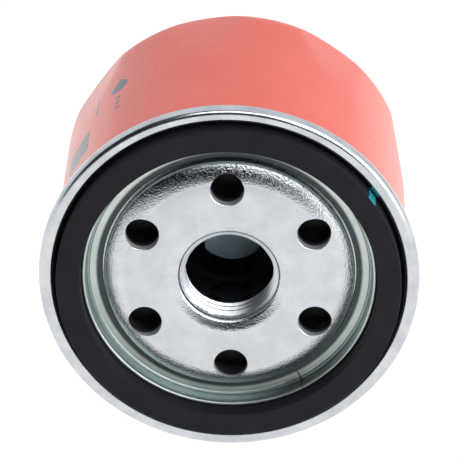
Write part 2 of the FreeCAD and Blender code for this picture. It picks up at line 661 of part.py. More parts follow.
def main():
    os.makedirs("parts", exist_ok=True)
    can = canister()
    lid = seaming_lid()
    pieces = {
        "canister": can,
        "seaming_lid": lid,
        "seam_sealant": seam_sealant(can, lid),
        "base_plate": base_plate(),
        "sealing_gasket": sealing_gasket(),
        "drainback_valve": drainback_valve(),
        "lower_end_cap": lower_end_cap(),
        "upper_end_cap": upper_end_cap(),
        "center_tube": center_tube(),
        "pleated_media": pleated_media(),
        "media_seam_clip": media_seam_clip(),
        "lower_adhesive": adhesive_bed(CAP_FRONT + CAP_SHEET),
        "upper_adhesive": adhesive_bed(CAP_BACK - CAP_SHEET - ADHESIVE_DEPTH),
        "bypass_valve_seal": bypass_valve_seal(),
        "bypass_valve_cage": bypass_valve_cage(),
        "bypass_valve_poppet": bypass_valve_poppet(),
        "bypass_valve_spring": bypass_valve_spring(),
        "element_spring_cup": element_spring_cup(),
        "element_spring": element_spring(),
    }
    for name, shape in pieces.items():
        write_piece(name, shape)


main()
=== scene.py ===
import json
import math

import bmesh
import bpy
import numpy as np
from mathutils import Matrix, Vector


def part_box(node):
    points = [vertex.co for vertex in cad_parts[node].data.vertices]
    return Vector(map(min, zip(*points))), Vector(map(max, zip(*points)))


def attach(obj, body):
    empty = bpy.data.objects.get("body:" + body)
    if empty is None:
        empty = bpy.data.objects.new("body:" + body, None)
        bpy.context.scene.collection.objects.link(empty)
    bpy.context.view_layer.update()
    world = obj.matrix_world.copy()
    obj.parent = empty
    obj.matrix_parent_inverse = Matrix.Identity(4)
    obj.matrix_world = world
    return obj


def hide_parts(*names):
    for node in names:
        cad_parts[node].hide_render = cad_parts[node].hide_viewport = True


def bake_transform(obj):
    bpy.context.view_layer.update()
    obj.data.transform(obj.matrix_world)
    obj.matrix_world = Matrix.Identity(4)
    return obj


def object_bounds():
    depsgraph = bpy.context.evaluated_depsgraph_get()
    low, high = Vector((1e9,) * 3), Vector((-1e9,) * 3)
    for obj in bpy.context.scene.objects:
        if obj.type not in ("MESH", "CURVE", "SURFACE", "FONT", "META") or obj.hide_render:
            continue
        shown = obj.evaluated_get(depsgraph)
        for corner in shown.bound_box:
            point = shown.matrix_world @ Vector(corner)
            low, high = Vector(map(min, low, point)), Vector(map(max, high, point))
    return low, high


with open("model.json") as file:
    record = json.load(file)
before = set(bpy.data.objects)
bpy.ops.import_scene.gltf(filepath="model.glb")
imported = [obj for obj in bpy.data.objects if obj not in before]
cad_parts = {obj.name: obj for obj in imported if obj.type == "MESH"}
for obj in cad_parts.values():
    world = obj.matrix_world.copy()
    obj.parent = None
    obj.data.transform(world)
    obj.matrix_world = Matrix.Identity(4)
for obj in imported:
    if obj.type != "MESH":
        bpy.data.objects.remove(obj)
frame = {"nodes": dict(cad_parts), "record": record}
cad_low, cad_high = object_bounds()

# Outlines are (radius, depth[, rounding]) in millimetres, where depth runs along +Y from the
# gasket's sealing face.  A clock angle is 0 at the top and clockwise from the mounting end.
MM = 0.001
FINE_TURNS = 360
ARC_STEPS = 8
EASE = 0.03                    # support points beside a rounding keep the flat next to it flat
SHARP_ANGLE = math.radians(34)


def radii(node):
    """Give the smallest and largest distance of a node from the filter's axis."""
    points = [vertex.co for vertex in frame["nodes"][node].data.vertices]
    spans = [math.hypot(point.x, point.z) / MM for point in points]
    return min(spans), max(spans)


def depths(node):
    """Give the front and back depth of a node."""
    low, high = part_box(node)
    return low.y / MM, high.y / MM


# Sizes read from the frame
MOUNTS = {mount["name"]: mount for mount in frame["record"]["mounts"]}
INLETS = [opening["box_m"] for opening in frame["record"]["physics"]["openings"]
          if opening["name"].startswith("inlet")]
SEAM_RADIUS = radii("seaming_lid")[1]
SEAM_SETBACK, LID_BACK = depths("seaming_lid")
LID_OPENING_RADIUS = radii("seaming_lid")[0]
GASKET_INNER_RADIUS, GASKET_RADIUS = radii("sealing_gasket")
GROOVE_FLOOR = depths("sealing_gasket")[1]
PLATE_RADIUS = radii("base_plate")[1]
PLATE_SETBACK, PLATE_RIM_BACK = depths("base_plate")
CAN_TOP = depths("canister")[1]
THREAD_MINOR_RADIUS = MOUNTS["engine_thread"]["dims"]["r_mm"]
THREAD_LENGTH = MOUNTS["engine_thread"]["dims"]["length_mm"]
THREAD_MIDDLE = MOUNTS["engine_thread"]["pos_m"][1] / MM
VALVE_FRONT, VALVE_BACK = depths("drainback_valve")
VALVE_HUB_RADIUS, VALVE_LIP_RADIUS = radii("drainback_valve")
MEDIA_FRONT, MEDIA_BACK = depths("pleated_media")
MEDIA_INNER_RADIUS, MEDIA_OUTER_RADIUS = radii("pleated_media")

# Sizes of sheets, presses, threads and wires
CAN_RADIUS = 35.0
CAN_SHEET = 0.45
LID_SHEET = LID_BACK - GROOVE_FLOOR
SEAM_DEPTH = 2.9
SEAM_REAR = SEAM_SETBACK + SEAM_DEPTH
DOME_EDGE_RADIUS = 6.0
DOME_CROWN = 0.8
FLAT_COUNT = 8
FLAT_SINK = 0.85
FLAT_LENGTH = 13.0
FLAT_TURN = -10.0
FLAT_SOFTNESS = 0.16
FLAT_RUN_OUT = 4.0
PLATE_SHEET = PLATE_RIM_BACK - LID_BACK
PLATE_RISE_RADIUS = LID_OPENING_RADIUS - 0.25
PLATE_SHOULDER_DROP = 1.8
PLATE_SHOULDER_SLOPE = math.radians(30)
PLATE_SHOULDER_ROUND = 11.0
THREAD_MAJOR_RADIUS = 9.525
THREAD_PITCH = 25.4 / 16
THREAD_LEAD_IN = 0.48
THREAD_ROW_STEP = 0.045
COLLAR_WALL = 2.85
MOUTH_RADIUS = 9.75
MOUTH_ROUND = 1.0
DISH_WIDTH = 2.2
DISH_DEPTH = 0.85
DISH_ROUND = 3.5
INLET_RADIUS = 3.3
INLET_RIM = 0.3
LIP_THICKNESS = 0.7
ELEMENT_WIRE_RADIUS = 0.8
ELEMENT_COIL_TURNS = 4.5
BYPASS_WIRE_RADIUS = 0.45
BYPASS_COIL_TURNS = 7.5


# ---------------------------------------------------------------- outlines and meshes

def arc_points(before, corner, after, radius):
    """Round one corner with a run of short steps."""
    to_before = (before - corner).normalized()
    to_after = (after - corner).normalized()
    half_angle = to_before.angle(to_after) / 2
    run = radius / math.tan(half_angle)
    centre = corner + (to_before + to_after).normalized() * (radius / math.sin(half_angle))
    start = corner + to_before * run - centre
    end = corner + to_after * run - centre
    sweep = start.angle_signed(end)
    points = []
    for step in range(ARC_STEPS + 1):
        angle = -sweep * step / ARC_STEPS
        turned = Vector((start.x * math.cos(angle) - start.y * math.sin(angle),
                         start.x * math.sin(angle) + start.y * math.cos(angle)))
        points.append(centre + turned)
    return points


def outline(corners):
    """Turn rounded corners into points, with support points at the ends of straight runs."""
    stops = []
    for index, corner in enumerate(corners):
        here = Vector(corner[:2])
        rounding = corner[2] if len(corner) > 2 else 0
        before = Vector(corners[index - 1][:2])
        after = Vector(corners[(index + 1) % len(corners)][:2])
        stops.append(arc_points(before, here, after, rounding) if rounding else [here])
    points = []
    for index, stop in enumerate(stops):
        points += stop
        following = stops[(index + 1) % len(stops)][0]
        straight = following - stop[-1]
        if straight.length > 6 * EASE:
            step = straight.normalized() * EASE
            points += [stop[-1] + step, following - step]
    return np.array(points)


def finish_mesh(name, vertices, faces):
    """Make an object from millimetre vertices, smooth where its faces bend gently."""
    mesh = bpy.data.meshes.new(name)
    mesh.from_pydata((np.asarray(vertices) * MM).tolist(), [], faces)
    solid = bmesh.new()
    solid.from_mesh(mesh)
    bmesh.ops.recalc_face_normals(solid, faces=solid.faces)
    solid.to_mesh(mesh)
    solid.free()
    mesh.polygons.foreach_set("use_smooth", [True] * len(mesh.polygons))
    mesh.set_sharp_from_angle(angle=SHARP_ANGLE)
    piece = bpy.data.objects.new(name, mesh)
    bpy.context.scene.collection.objects.link(piece)
    return piece


def spin(name, points, turns=FINE_TURNS, form=None, closed=True):
    """Spin an outline about the filter's axis; form may shift radius and depth at each angle."""
    clock = np.arange(turns) * 2 * math.pi / turns
    radius = np.repeat(points[:, :1], turns, axis=1)
    depth = np.repeat(points[:, 1:2], turns, axis=1)
    if form:
        radius, depth = form(clock[None, :], radius, depth)
    vertices = []
    rows = []
    for row in range(len(points)):
        first = len(vertices)
        if points[row, 0] < 1e-6:
            vertices.append((0, depth[row, 0], 0))
            rows.append([first] * turns)
            continue
        across = radius[row] * np.sin(clock)
        upward = radius[row] * np.cos(clock)
        vertices += list(zip(across, depth[row], upward))
        rows.append(list(range(first, first + turns)))
    faces = []
    for row in range(len(rows) if closed else len(rows) - 1):
        one, two = rows[row], rows[(row + 1) % len(rows)]
        for index in range(turns):
            after = (index + 1) % turns
            corners = [one[index], two[index], two[after], one[after]]
            faces.append(list(dict.fromkeys(corners)))
    return finish_mesh(name, vertices, faces)


def sweep_tube(name, path, wire_radius, sides=20):
    """Run a round wire along a path of points and round off its two ends."""
    path = np.asarray(path)
    along = np.gradient(path, axis=0)
    along /= np.linalg.norm(along, axis=1)[:, None]
    outward = path * (1, 0, 1)
    outward -= (outward * along).sum(1)[:, None] * along
    outward /= np.linalg.norm(outward, axis=1)[:, None]
    aside = np.cross(along, outward)
    turn = np.arange(sides) * 2 * math.pi / sides
    vertices = []
    for index in range(len(path)):
        ring = outward[index] * np.cos(turn)[:, None] + aside[index] * np.sin(turn)[:, None]
        vertices += list(path[index] + ring * wire_radius)
    faces = []
    for index in range(len(path) - 1):
        base = index * sides
        for side in range(sides):
            after = (side + 1) % sides
            faces.append([base + side, base + after, base + sides + after, base + sides + side])
    last = (len(path) - 1) * sides
    faces.append(list(range(sides))[::-1])
    faces.append([last + side for side in range(sides)])
    return finish_mesh(name, vertices, faces)


def cut_with(piece, cutters):
    """Cut the cutters out of a piece for good and throw the cutters away."""
    for cutter in cutters:
        modifier = piece.modifiers.new("cut", "BOOLEAN")
        modifier.operation = "DIFFERENCE"
        modifier.solver = "EXACT"
        modifier.object = cutter
    settle(piece)
    for cutter in cutters:
        bpy.data.objects.remove(cutter)


def settle(piece):
    """Apply every modifier of a piece to its mesh."""
    graph = bpy.context.evaluated_depsgraph_get()
    solved = bpy.data.meshes.new_from_object(piece.evaluated_get(graph))
    piece.modifiers.clear()
    piece.data = solved
    solved.polygons.foreach_set("use_smooth", [True] * len(solved.polygons))
    solved.set_sharp_from_angle(angle=SHARP_ANGLE)


# ---------------------------------------------------------------- the pieces

def dome_points(radius, edge_radius, top, steps):
    """Run from the centre of the dome over its crown and round its edge to the wall."""
    crown_edge = radius - edge_radius
    crown_radius = (crown_edge ** 2 + DOME_CROWN ** 2) / (2 * DOME_CROWN)
    points = []
    for step in range(steps):
        away = crown_edge * step / steps
        drop = crown_radius - math.sqrt(crown_radius ** 2 - away ** 2)
        points.append((away, top - drop))
    for step in range(steps + 1):
        angle = math.pi / 2 * (1 - step / steps)
        across = crown_edge + edge_radius * math.cos(angle)
        points.append((across, top - DOME_CROWN - edge_radius * (1 - math.sin(angle))))
    return points


def wrench_flats(clock, radius, depth, sheet_offset):
    """Press the eight flats into the wall where it nears the dome."""
    edge_depth = CAN_TOP - DOME_CROWN - DOME_EDGE_RADIUS
    step = 2 * math.pi / FLAT_COUNT
    from_middle = (clock - math.radians(FLAT_TURN) + step / 2) % step - step / 2
    sunk = FLAT_SINK * (depth - edge_depth + FLAT_LENGTH) / FLAT_LENGTH
    limit = (CAN_RADIUS - sheet_offset - sunk) / np.cos(from_middle)
    gap = radius - limit
    soft = (radius + limit - np.sqrt(gap ** 2 + FLAT_SOFTNESS ** 2)) / 2
    near = np.clip((depth - edge_depth + FLAT_LENGTH + FLAT_RUN_OUT) / FLAT_RUN_OUT, 0, 1)
    return radius + (soft - radius) * near


def make_canister():
    """Painted can: a wall with a domed end, and a flange hooked into the seam."""
    hook_front = SEAM_SETBACK + LID_SHEET
    hook_radius = SEAM_RADIUS - LID_SHEET - 0.4
    hook_rear = SEAM_REAR - LID_SHEET - 0.3
    wall_front = hook_front + 0.95
    inner_radius = CAN_RADIUS - CAN_SHEET
    outside = dome_points(CAN_RADIUS, DOME_EDGE_RADIUS, CAN_TOP, 26)
    inside = dome_points(inner_radius, DOME_EDGE_RADIUS - CAN_SHEET, CAN_TOP - CAN_SHEET, 14)
    outer_wall = [(CAN_RADIUS, depth) for depth in np.linspace(outside[-1][1], wall_front, 60)]
    inner_wall = [(inner_radius, depth) for depth in np.linspace(wall_front, inside[-1][1], 40)]
    flange = [
        (CAN_RADIUS + 0.45, hook_front + CAN_SHEET),
        (hook_radius - CAN_SHEET, hook_front + CAN_SHEET),
        (hook_radius - CAN_SHEET, hook_rear),
        (hook_radius, hook_rear),
        (hook_radius, hook_front),
        (inner_radius + 0.7, hook_front),
    ]
    outer_rows = outside + outer_wall[1:]
    inner_rows = flange + inner_wall[:-1] + inside[::-1]
    offsets = [0] * len(outer_rows) + [CAN_SHEET] * len(inner_rows)

    def press(clock, radius, depth):
        return wrench_flats(clock, radius, depth, np.array(offsets)[:, None]), depth

    points = np.array(outer_rows + inner_rows)
    return spin("painted_can", points, form=press, closed=False)


def make_lid():
    """Thin lid: foot on the plate, inner ridge, gasket groove and rolled seam."""
    ridge_outer = GASKET_INNER_RADIUS - 0.1
    ridge_inner = ridge_outer - 0.95
    ridge_crest = 3.25
    step_front = GROOVE_FLOOR - 0.35
    groove_wall = GASKET_RADIUS + 0.1
    tail_radius = CAN_RADIUS + 0.03
    tail_front = SEAM_SETBACK + LID_SHEET + 0.98
    points = outline([
        (LID_OPENING_RADIUS, GROOVE_FLOOR, 0.15),
        (ridge_inner - 0.5, GROOVE_FLOOR, 0.3),
        (ridge_inner - 0.4, step_front, 0.12),
        (ridge_inner, step_front, 0.12),
        (ridge_inner + 0.2, ridge_crest, 0.4),
        (ridge_outer, ridge_crest, 0.3),
        (ridge_outer, GROOVE_FLOOR, 0.2),
        (groove_wall, GROOVE_FLOOR, 0.4),
        (groove_wall, SEAM_SETBACK + 1.6, 0.6),
        (CAN_RADIUS - 0.1, SEAM_SETBACK, 0.9),
        (SEAM_RADIUS, SEAM_SETBACK, 1.4),
        (SEAM_RADIUS, SEAM_REAR, 1.1),
        (tail_radius, SEAM_REAR, 0.2),
        (tail_radius, tail_front),
        (tail_radius + LID_SHEET, tail_front),
        (tail_radius + LID_SHEET, SEAM_REAR - LID_SHEET),
        (SEAM_RADIUS - LID_SHEET, SEAM_REAR - LID_SHEET, 0.5),
        (SEAM_RADIUS - LID_SHEET, SEAM_SETBACK + LID_SHEET, 0.5),
        (CAN_RADIUS + 0.25, SEAM_SETBACK + LID_SHEET),
        (CAN_RADIUS - CAN_SHEET, tail_front - 0.03),
        (CAN_RADIUS - CAN_SHEET, LID_BACK, 0.6),
        (LID_OPENING_RADIUS, LID_BACK, 0.15),
    ])
    return spin("rolled_lid", points, turns=480)


def thread_form(clock, radius, depth):
    """Cut the right-handed thread into the bore, deepest midway between its crests."""
    start = THREAD_MIDDLE - THREAD_LENGTH / 2
    lead = (depth - start) / THREAD_PITCH + clock / (2 * math.pi)
    from_root = np.abs(lead % 1 - 0.5) * THREAD_PITCH
    crest_half = (THREAD_PITCH - 0.3) / 2
    root_half = 0.1
    height = THREAD_MAJOR_RADIUS - THREAD_MINOR_RADIUS
    rise = np.clip((crest_half - from_root) / (crest_half - root_half), 0, 1)
    groove = THREAD_MINOR_RADIUS + height * rise
    bore = radius < MOUTH_RADIUS + 0.01
    bore &= depth < THREAD_MIDDLE + THREAD_LENGTH / 2 + 0.01
    return np.where(bore, np.maximum(radius, groove), radius), depth


def make_inlet_cutter(middle_x, middle_z):
    """Make the form that cuts one inlet with a rolled front rim."""
    front = PLATE_SETBACK - 0.01
    rim = [(INLET_RADIUS + INLET_RIM * (1 - math.sin(angle)),
            front + INLET_RIM * (1 - math.cos(angle)))
           for angle in np.linspace(0, math.pi / 2, ARC_STEPS + 1)]
    points = [(0, front - 1), (INLET_RADIUS + INLET_RIM, front - 1)] + rim
    points += [(INLET_RADIUS, PLATE_RIM_BACK + 1), (0, PLATE_RIM_BACK + 1)]
    cutter = spin("inlet_cutter", np.array(points), turns=96, closed=False)
    cutter.location = (middle_x, 0, middle_z)
    return cutter


def make_plate():
    """Thick plate: raised centre, six inlets and the inward collar with its thread."""
    thread_start = THREAD_MIDDLE - THREAD_LENGTH / 2
    collar_end = THREAD_MIDDLE + THREAD_LENGTH / 2
    collar_radius = THREAD_MINOR_RADIUS + COLLAR_WALL
    centre_back = PLATE_SETBACK + PLATE_SHEET
    recess_radius = PLATE_RISE_RADIUS - PLATE_SHEET
    slope_radius = PLATE_RISE_RADIUS - PLATE_SHOULDER_DROP / math.tan(PLATE_SHOULDER_SLOPE)
    face_start = MOUTH_RADIUS + 2 * DISH_WIDTH
    mouth = outline([
        (face_start, PLATE_SETBACK),
        (MOUTH_RADIUS + DISH_WIDTH, PLATE_SETBACK, DISH_ROUND),
        (MOUTH_RADIUS, PLATE_SETBACK + DISH_DEPTH, MOUTH_ROUND),
        (MOUTH_RADIUS, thread_start - THREAD_LEAD_IN),
    ])[1:-2]
    bore_rows = np.linspace(thread_start, collar_end, round(THREAD_LENGTH / THREAD_ROW_STEP))
    lead_in = [(MOUTH_RADIUS + (THREAD_MINOR_RADIUS - MOUTH_RADIUS) * share,
                thread_start - THREAD_LEAD_IN * (1 - share)) for share in np.linspace(0.1, 0.9, 9)]
    bore = [(THREAD_MINOR_RADIUS, depth) for depth in bore_rows]
    rest = outline([
        (THREAD_MINOR_RADIUS, collar_end),
        (collar_radius, collar_end, 0.5),
        (collar_radius, centre_back, 0.8),
        (recess_radius, centre_back, 0.3),
        (recess_radius, PLATE_RIM_BACK, 1.5),
        (PLATE_RADIUS, PLATE_RIM_BACK, 0.4),
        (PLATE_RADIUS, LID_BACK, 0.4),
        (PLATE_RISE_RADIUS, LID_BACK),
        (PLATE_RISE_RADIUS, PLATE_SETBACK + PLATE_SHOULDER_DROP, 1.0),
        (slope_radius, PLATE_SETBACK, PLATE_SHOULDER_ROUND),
        (face_start, PLATE_SETBACK),
    ])[1:-3]
    points = np.vstack([mouth, lead_in, bore, rest])
    plate = spin("threaded_plate", points, turns=288, form=thread_form)
    cutters = [make_inlet_cutter((low[0] + high[0]) / 2, (low[2] + high[2]) / 2)
               for low, high in INLETS]
    cut_with(plate, cutters)
    weighted = plate.modifiers.new("even_shading", "WEIGHTED_NORMAL")
    weighted.keep_sharp = True
    return plate


def make_gasket():
    """Square-section rubber ring, its edges rounded by the mould."""
    rounding = 0.3
    return spin("face_gasket", outline([
        (GASKET_INNER_RADIUS, 0, rounding),
        (GASKET_RADIUS, 0, rounding),
        (GASKET_RADIUS, GROOVE_FLOOR, rounding),
        (GASKET_INNER_RADIUS, GROOVE_FLOOR, rounding),
    ]))


def make_valve_hub():
    """Rubber hub of the drain-back valve, held on the collar."""
    outer = VALVE_HUB_RADIUS + 2.4
    return spin("drainback_hub", outline([
        (VALVE_HUB_RADIUS, VALVE_FRONT, 0.3),
        (outer, VALVE_FRONT, 0.4),
        (outer, VALVE_BACK, 0.4),
        (VALVE_HUB_RADIUS, VALVE_BACK, 0.3),
    ]), turns=192)


def make_valve_web():
    """Thin dished web of the drain-back valve, whose lip closes on the plate."""
    root = VALVE_HUB_RADIUS + 2.2
    lip_inner = VALVE_LIP_RADIUS - 3.0
    root_front = VALVE_BACK - 1.5
    return spin("drainback_web", outline([
        (root, root_front),
        (root + 2.5, root_front - 0.7, 0.6),
        (lip_inner - 0.4, PLATE_RIM_BACK + 0.3, 0.2),
        (lip_inner, PLATE_RIM_BACK, 0.2),
        (VALVE_LIP_RADIUS, PLATE_RIM_BACK, 0.2),
        (VALVE_LIP_RADIUS, PLATE_RIM_BACK + LIP_THICKNESS, 0.3),
        (lip_inner - 0.4, PLATE_RIM_BACK + 1.1, 0.5),
        (root + 2.5, root_front + 0.3, 0.6),
        (root, root_front + 1.0),
    ]), turns=192)


def make_media():
    """Filter paper folded into a star of pleats with rounded folds."""
    pleats = 44
    steps = 14
    paper = 0.55
    inner = MEDIA_INNER_RADIUS + paper
    outer = MEDIA_OUTER_RADIUS - paper
    count = pleats * 2 * steps
    clock = np.arange(count) * 2 * math.pi / count
    wave = np.arcsin(0.97 * np.cos(clock * pleats)) / math.asin(0.97)
    radius = (inner + outer) / 2 - wave * (outer - inner) / 2
    line = np.stack([radius * np.sin(clock), radius * np.cos(clock)], axis=1)
    along = np.roll(line, -1, axis=0) - np.roll(line, 1, axis=0)
    along /= np.linalg.norm(along, axis=1)[:, None]
    across = np.stack([along[:, 1], -along[:, 0]], axis=1) * paper / 2
    rings = [(line + across, MEDIA_FRONT), (line + across, MEDIA_BACK),
             (line - across, MEDIA_BACK), (line - across, MEDIA_FRONT)]
    vertices = []
    for ring, depth in rings:
        vertices += [(point[0], depth, point[1]) for point in ring]
    faces = []
    for side in range(4):
        for index in range(count):
            after = (index + 1) % count
            other = (side + 1) % 4
            faces.append([side * count + index, other * count + index,
                          other * count + after, side * count + after])
    return finish_mesh("paper_star", vertices, faces)


def coil_path(radius, front, back, wire_radius, turns):
    """Give the middle line of a coil whose end turns lie closed on each other."""
    low = front + wire_radius
    high = back - wire_radius
    share = np.linspace(0, 1, round(turns * 48) + 1)
    closed = 0.7 / turns
    ramp = np.clip((share - closed) / (1 - 2 * closed), 0, 1)
    gentle = closed * 1.2
    eased = ramp * (1 - gentle) + gentle * share
    depth = low + (high - low) * eased
    clock = share * turns * 2 * math.pi
    return np.stack([radius * np.sin(clock), depth, radius * np.cos(clock)], axis=1)


def make_coil(name, node, wire_radius, turns):
    """Make a coil spring that fills its node's box."""
    front, back = depths(node)
    radius = radii(node)[1] - wire_radius
    return sweep_tube(name, coil_path(radius, front, back, wire_radius, turns), wire_radius)


# ---------------------------------------------------------------- shader helpers

def feed(tree, socket, value):
    """Set a socket to a value, or link another socket to it."""
    if isinstance(value, bpy.types.NodeSocket):
        tree.links.new(value, socket)
    else:
        socket.default_value = value


def calc(tree, operation, *values):
    """Do one sum on numbers or sockets."""
    node = tree.nodes.new("ShaderNodeMath")
    node.operation = operation
    for socket, value in zip(node.inputs, values):
        feed(tree, socket, value)
    return node.outputs[0]


def fade(tree, value, low, high, start=0.0, end=1.0):
    """Move smoothly from start to end as value goes from low to high."""
    node = tree.nodes.new("ShaderNodeMapRange")
    node.interpolation_type = "SMOOTHSTEP"
    for socket, item in zip(node.inputs, (value, low, high, start, end)):
        feed(tree, socket, item)
    return node.outputs[0]


def between(tree, value, low, high, soft):
    """Mask the stretch where value lies between low and high."""
    rising = fade(tree, value, low - soft, low + soft)
    falling = fade(tree, value, high - soft, high + soft, 1.0, 0.0)
    return calc(tree, "MULTIPLY", rising, falling)


def mix_colour(tree, share, first, second):
    """Mix two colours by a share."""
    node = tree.nodes.new("ShaderNodeMix")
    node.data_type = "RGBA"
    feed(tree, node.inputs[0], share)
    feed(tree, node.inputs[6], first)
    feed(tree, node.inputs[7], second)
    return node.outputs[2]


def distance_from(tree, sideways, upward):
    """Give the length of a step with two parts."""
    squares = calc(tree, "ADD", calc(tree, "POWER", sideways, 2.0),
                   calc(tree, "POWER", upward, 2.0))
    return calc(tree, "SQRT", squares)


def object_point(tree, stretch=(1, 1, 1)):
    """Give the surface point in millimetres, stretched along each axis."""
    place = tree.nodes.new("ShaderNodeTexCoord")
    scaled = tree.nodes.new("ShaderNodeVectorMath")
    scaled.operation = "MULTIPLY"
    tree.links.new(place.outputs["Object"], scaled.inputs[0])
    scaled.inputs[1].default_value = [part / MM for part in stretch]
    return scaled.outputs[0]


def noise(tree, point, scale, detail=3.0, roughness=0.55):
    """Give a noise value over the surface."""
    node = tree.nodes.new("ShaderNodeTexNoise")
    feed(tree, node.inputs["Vector"], point)
    feed(tree, node.inputs["Scale"], scale)
    feed(tree, node.inputs["Detail"], detail)
    feed(tree, node.inputs["Roughness"], roughness)
    return node.outputs[0]


def new_group(name, inputs, outputs):
    """Start a shader node group with named inputs and outputs."""
    tree = bpy.data.node_groups.new(name, "ShaderNodeTree")
    for label, value in inputs.items():
        socket = tree.interface.new_socket(label, in_out="INPUT", socket_type="NodeSocketFloat")
        socket.default_value = value
    for label in outputs:
        tree.interface.new_socket(label, in_out="OUTPUT", socket_type="NodeSocketFloat")
    start = tree.nodes.new("NodeGroupInput")
    end = tree.nodes.new("NodeGroupOutput")
    return tree, start.outputs, end.inputs


def build_round_place():
    """Group: where a point lies about the filter's axis, in millimetres and degrees."""
    tree, _, end = new_group("round_place", {}, ["Radius", "Depth", "Clock"])
    parts = tree.nodes.new("ShaderNodeSeparateXYZ")
    feed(tree, parts.inputs[0], object_point(tree))
    across, depth, upward = parts.outputs
    clock = calc(tree, "DEGREES", calc(tree, "ARCTAN2", across, upward))
    feed(tree, end["Radius"], distance_from(tree, across, upward))
    feed(tree, end["Depth"], depth)
    feed(tree, end["Clock"], clock)
    return tree


def build_mottle():
    """Group: soft patches and fine grain, as rolled or plated sheet shows them."""
    tree, start, end = new_group("mottle", {"Patch": 6.0, "Grain": 0.3}, ["Patches", "Grains"])
    point = object_point(tree)
    patches = noise(tree, point, calc(tree, "DIVIDE", 1.0, start["Patch"]), 4.0, 0.6)
    grains = noise(tree, point, calc(tree, "DIVIDE", 1.0, start["Grain"]), 3.0, 0.6)
    feed(tree, end["Patches"], fade(tree, patches, 0.3, 0.7))
    feed(tree, end["Grains"], grains)
    return tree


def build_scratches():
    """Group: thin handling scratches that lie mostly one way."""
    tree, start, end = new_group("scratches", {"Length": 9.0, "Width": 0.16, "Amount": 0.5},
                                 ["Mask"])
    turn = tree.nodes.new("ShaderNodeVectorRotate")
    turn.rotation_type = "Y_AXIS"
    turn.inputs["Angle"].default_value = 0.7
    feed(tree, turn.inputs["Vector"], object_point(tree))
    parts = tree.nodes.new("ShaderNodeSeparateXYZ")
    feed(tree, parts.inputs[0], turn.outputs[0])
    joined = tree.nodes.new("ShaderNodeCombineXYZ")
    feed(tree, joined.inputs[0], calc(tree, "DIVIDE", parts.outputs[0], start["Length"]))
    feed(tree, joined.inputs[1], calc(tree, "DIVIDE", parts.outputs[1], start["Length"]))
    feed(tree, joined.inputs[2], calc(tree, "DIVIDE", parts.outputs[2], start["Width"]))
    streaks = noise(tree, joined.outputs[0], 1.0, 2.0, 0.5)
    patches = noise(tree, object_point(tree), 0.12, 2.0, 0.5)
    lines = fade(tree, streaks, 0.66, 0.74)
    gate = fade(tree, patches, 0.45, 0.62)
    feed(tree, end["Mask"], calc(tree, "MULTIPLY", calc(tree, "MULTIPLY", lines, gate),
                                 start["Amount"]))
    return tree


def build_dust():
    """Group: small specks of dust, a chosen share of evenly scattered places."""
    tree, start, end = new_group("dust", {"Spacing": 2.4, "Size": 0.1, "Share": 0.3}, ["Mask"])
    cells = tree.nodes.new("ShaderNodeTexVoronoi")
    feed(tree, cells.inputs["Vector"], object_point(tree))
    feed(tree, cells.inputs["Scale"], calc(tree, "DIVIDE", 1.0, start["Spacing"]))
    away = calc(tree, "MULTIPLY", cells.outputs["Distance"], start["Spacing"])
    pick = tree.nodes.new("ShaderNodeSeparateColor")
    feed(tree, pick.inputs[0], cells.outputs["Color"])
    chosen = calc(tree, "LESS_THAN", pick.outputs[0], start["Share"])
    sized = calc(tree, "MULTIPLY", start["Size"], calc(tree, "ADD", pick.outputs[1], 0.4))
    near = calc(tree, "LESS_THAN", away, sized)
    feed(tree, end["Mask"], calc(tree, "MULTIPLY", near, chosen))
    return tree


def build_printed_marks():
    """Group: plain printed marks on the can: a solid drop, a row of dots, a line and a block."""
    tree, _, end = new_group("printed_marks", {}, ["Mask"])
    place = tree.nodes.new("ShaderNodeGroup")
    place.node_tree = bpy.data.node_groups["round_place"]
    clock = place.outputs["Clock"]
    depth = place.outputs["Depth"]
    soft = 0.12
    arc_per_degree = math.radians(CAN_RADIUS)
    sideways = calc(tree, "MULTIPLY", calc(tree, "ADD", clock, 41.0), arc_per_degree)
    upward = calc(tree, "SUBTRACT", depth, 35.0)
    drop_radius = 2.1
    tip_slope = math.radians(36)
    circle = distance_from(tree, sideways, upward)
    flank = calc(tree, "ADD",
                 calc(tree, "MULTIPLY", calc(tree, "ABSOLUTE", sideways), math.cos(tip_slope)),
                 calc(tree, "MULTIPLY", upward, math.sin(tip_slope)))
    above = calc(tree, "GREATER_THAN", upward, drop_radius * math.sin(tip_slope))
    field = calc(tree, "ADD", calc(tree, "MULTIPLY", flank, above),
                 calc(tree, "MULTIPLY", circle, calc(tree, "SUBTRACT", 1.0, above)))
    masks = [fade(tree, field, drop_radius - soft, drop_radius + soft, 1.0, 0.0)]
    dot_radius = 0.62
    for dot_depth in (25.6, 27.8, 30.0):
        from_dot = distance_from(tree, sideways, calc(tree, "SUBTRACT", depth, dot_depth))
        masks.append(fade(tree, from_dot, dot_radius - soft, dot_radius + soft, 1.0, 0.0))
    degree_soft = soft / arc_per_degree
    for front, back, from_clock, to_clock in ((31.0, 39.0, -51.8, -51.0),
                                              (18.6, 27.6, -67.5, -54.5)):
        along = between(tree, depth, front, back, soft)
        around = between(tree, clock, from_clock, to_clock, degree_soft)
        masks.append(calc(tree, "MULTIPLY", along, around))
    total = masks[0]
    for mask in masks[1:]:
        total = calc(tree, "MAXIMUM", total, mask)
    feed(tree, end["Mask"], total)
    return tree


GROUPS = {
    "round_place": build_round_place,
    "mottle": build_mottle,
    "scratches": build_scratches,
    "dust": build_dust,
    "printed_marks": build_printed_marks,
}


def build_groups():
    """Build every shared effect once."""
    for build in GROUPS.values():
        build()


def effect(tree, name, **values):
    """Place a shared effect in a material with its own values."""
    node = tree.nodes.new("ShaderNodeGroup")
    node.node_tree = bpy.data.node_groups[name]
    for label, value in values.items():
        node.inputs[label].default_value = value
    return node.outputs


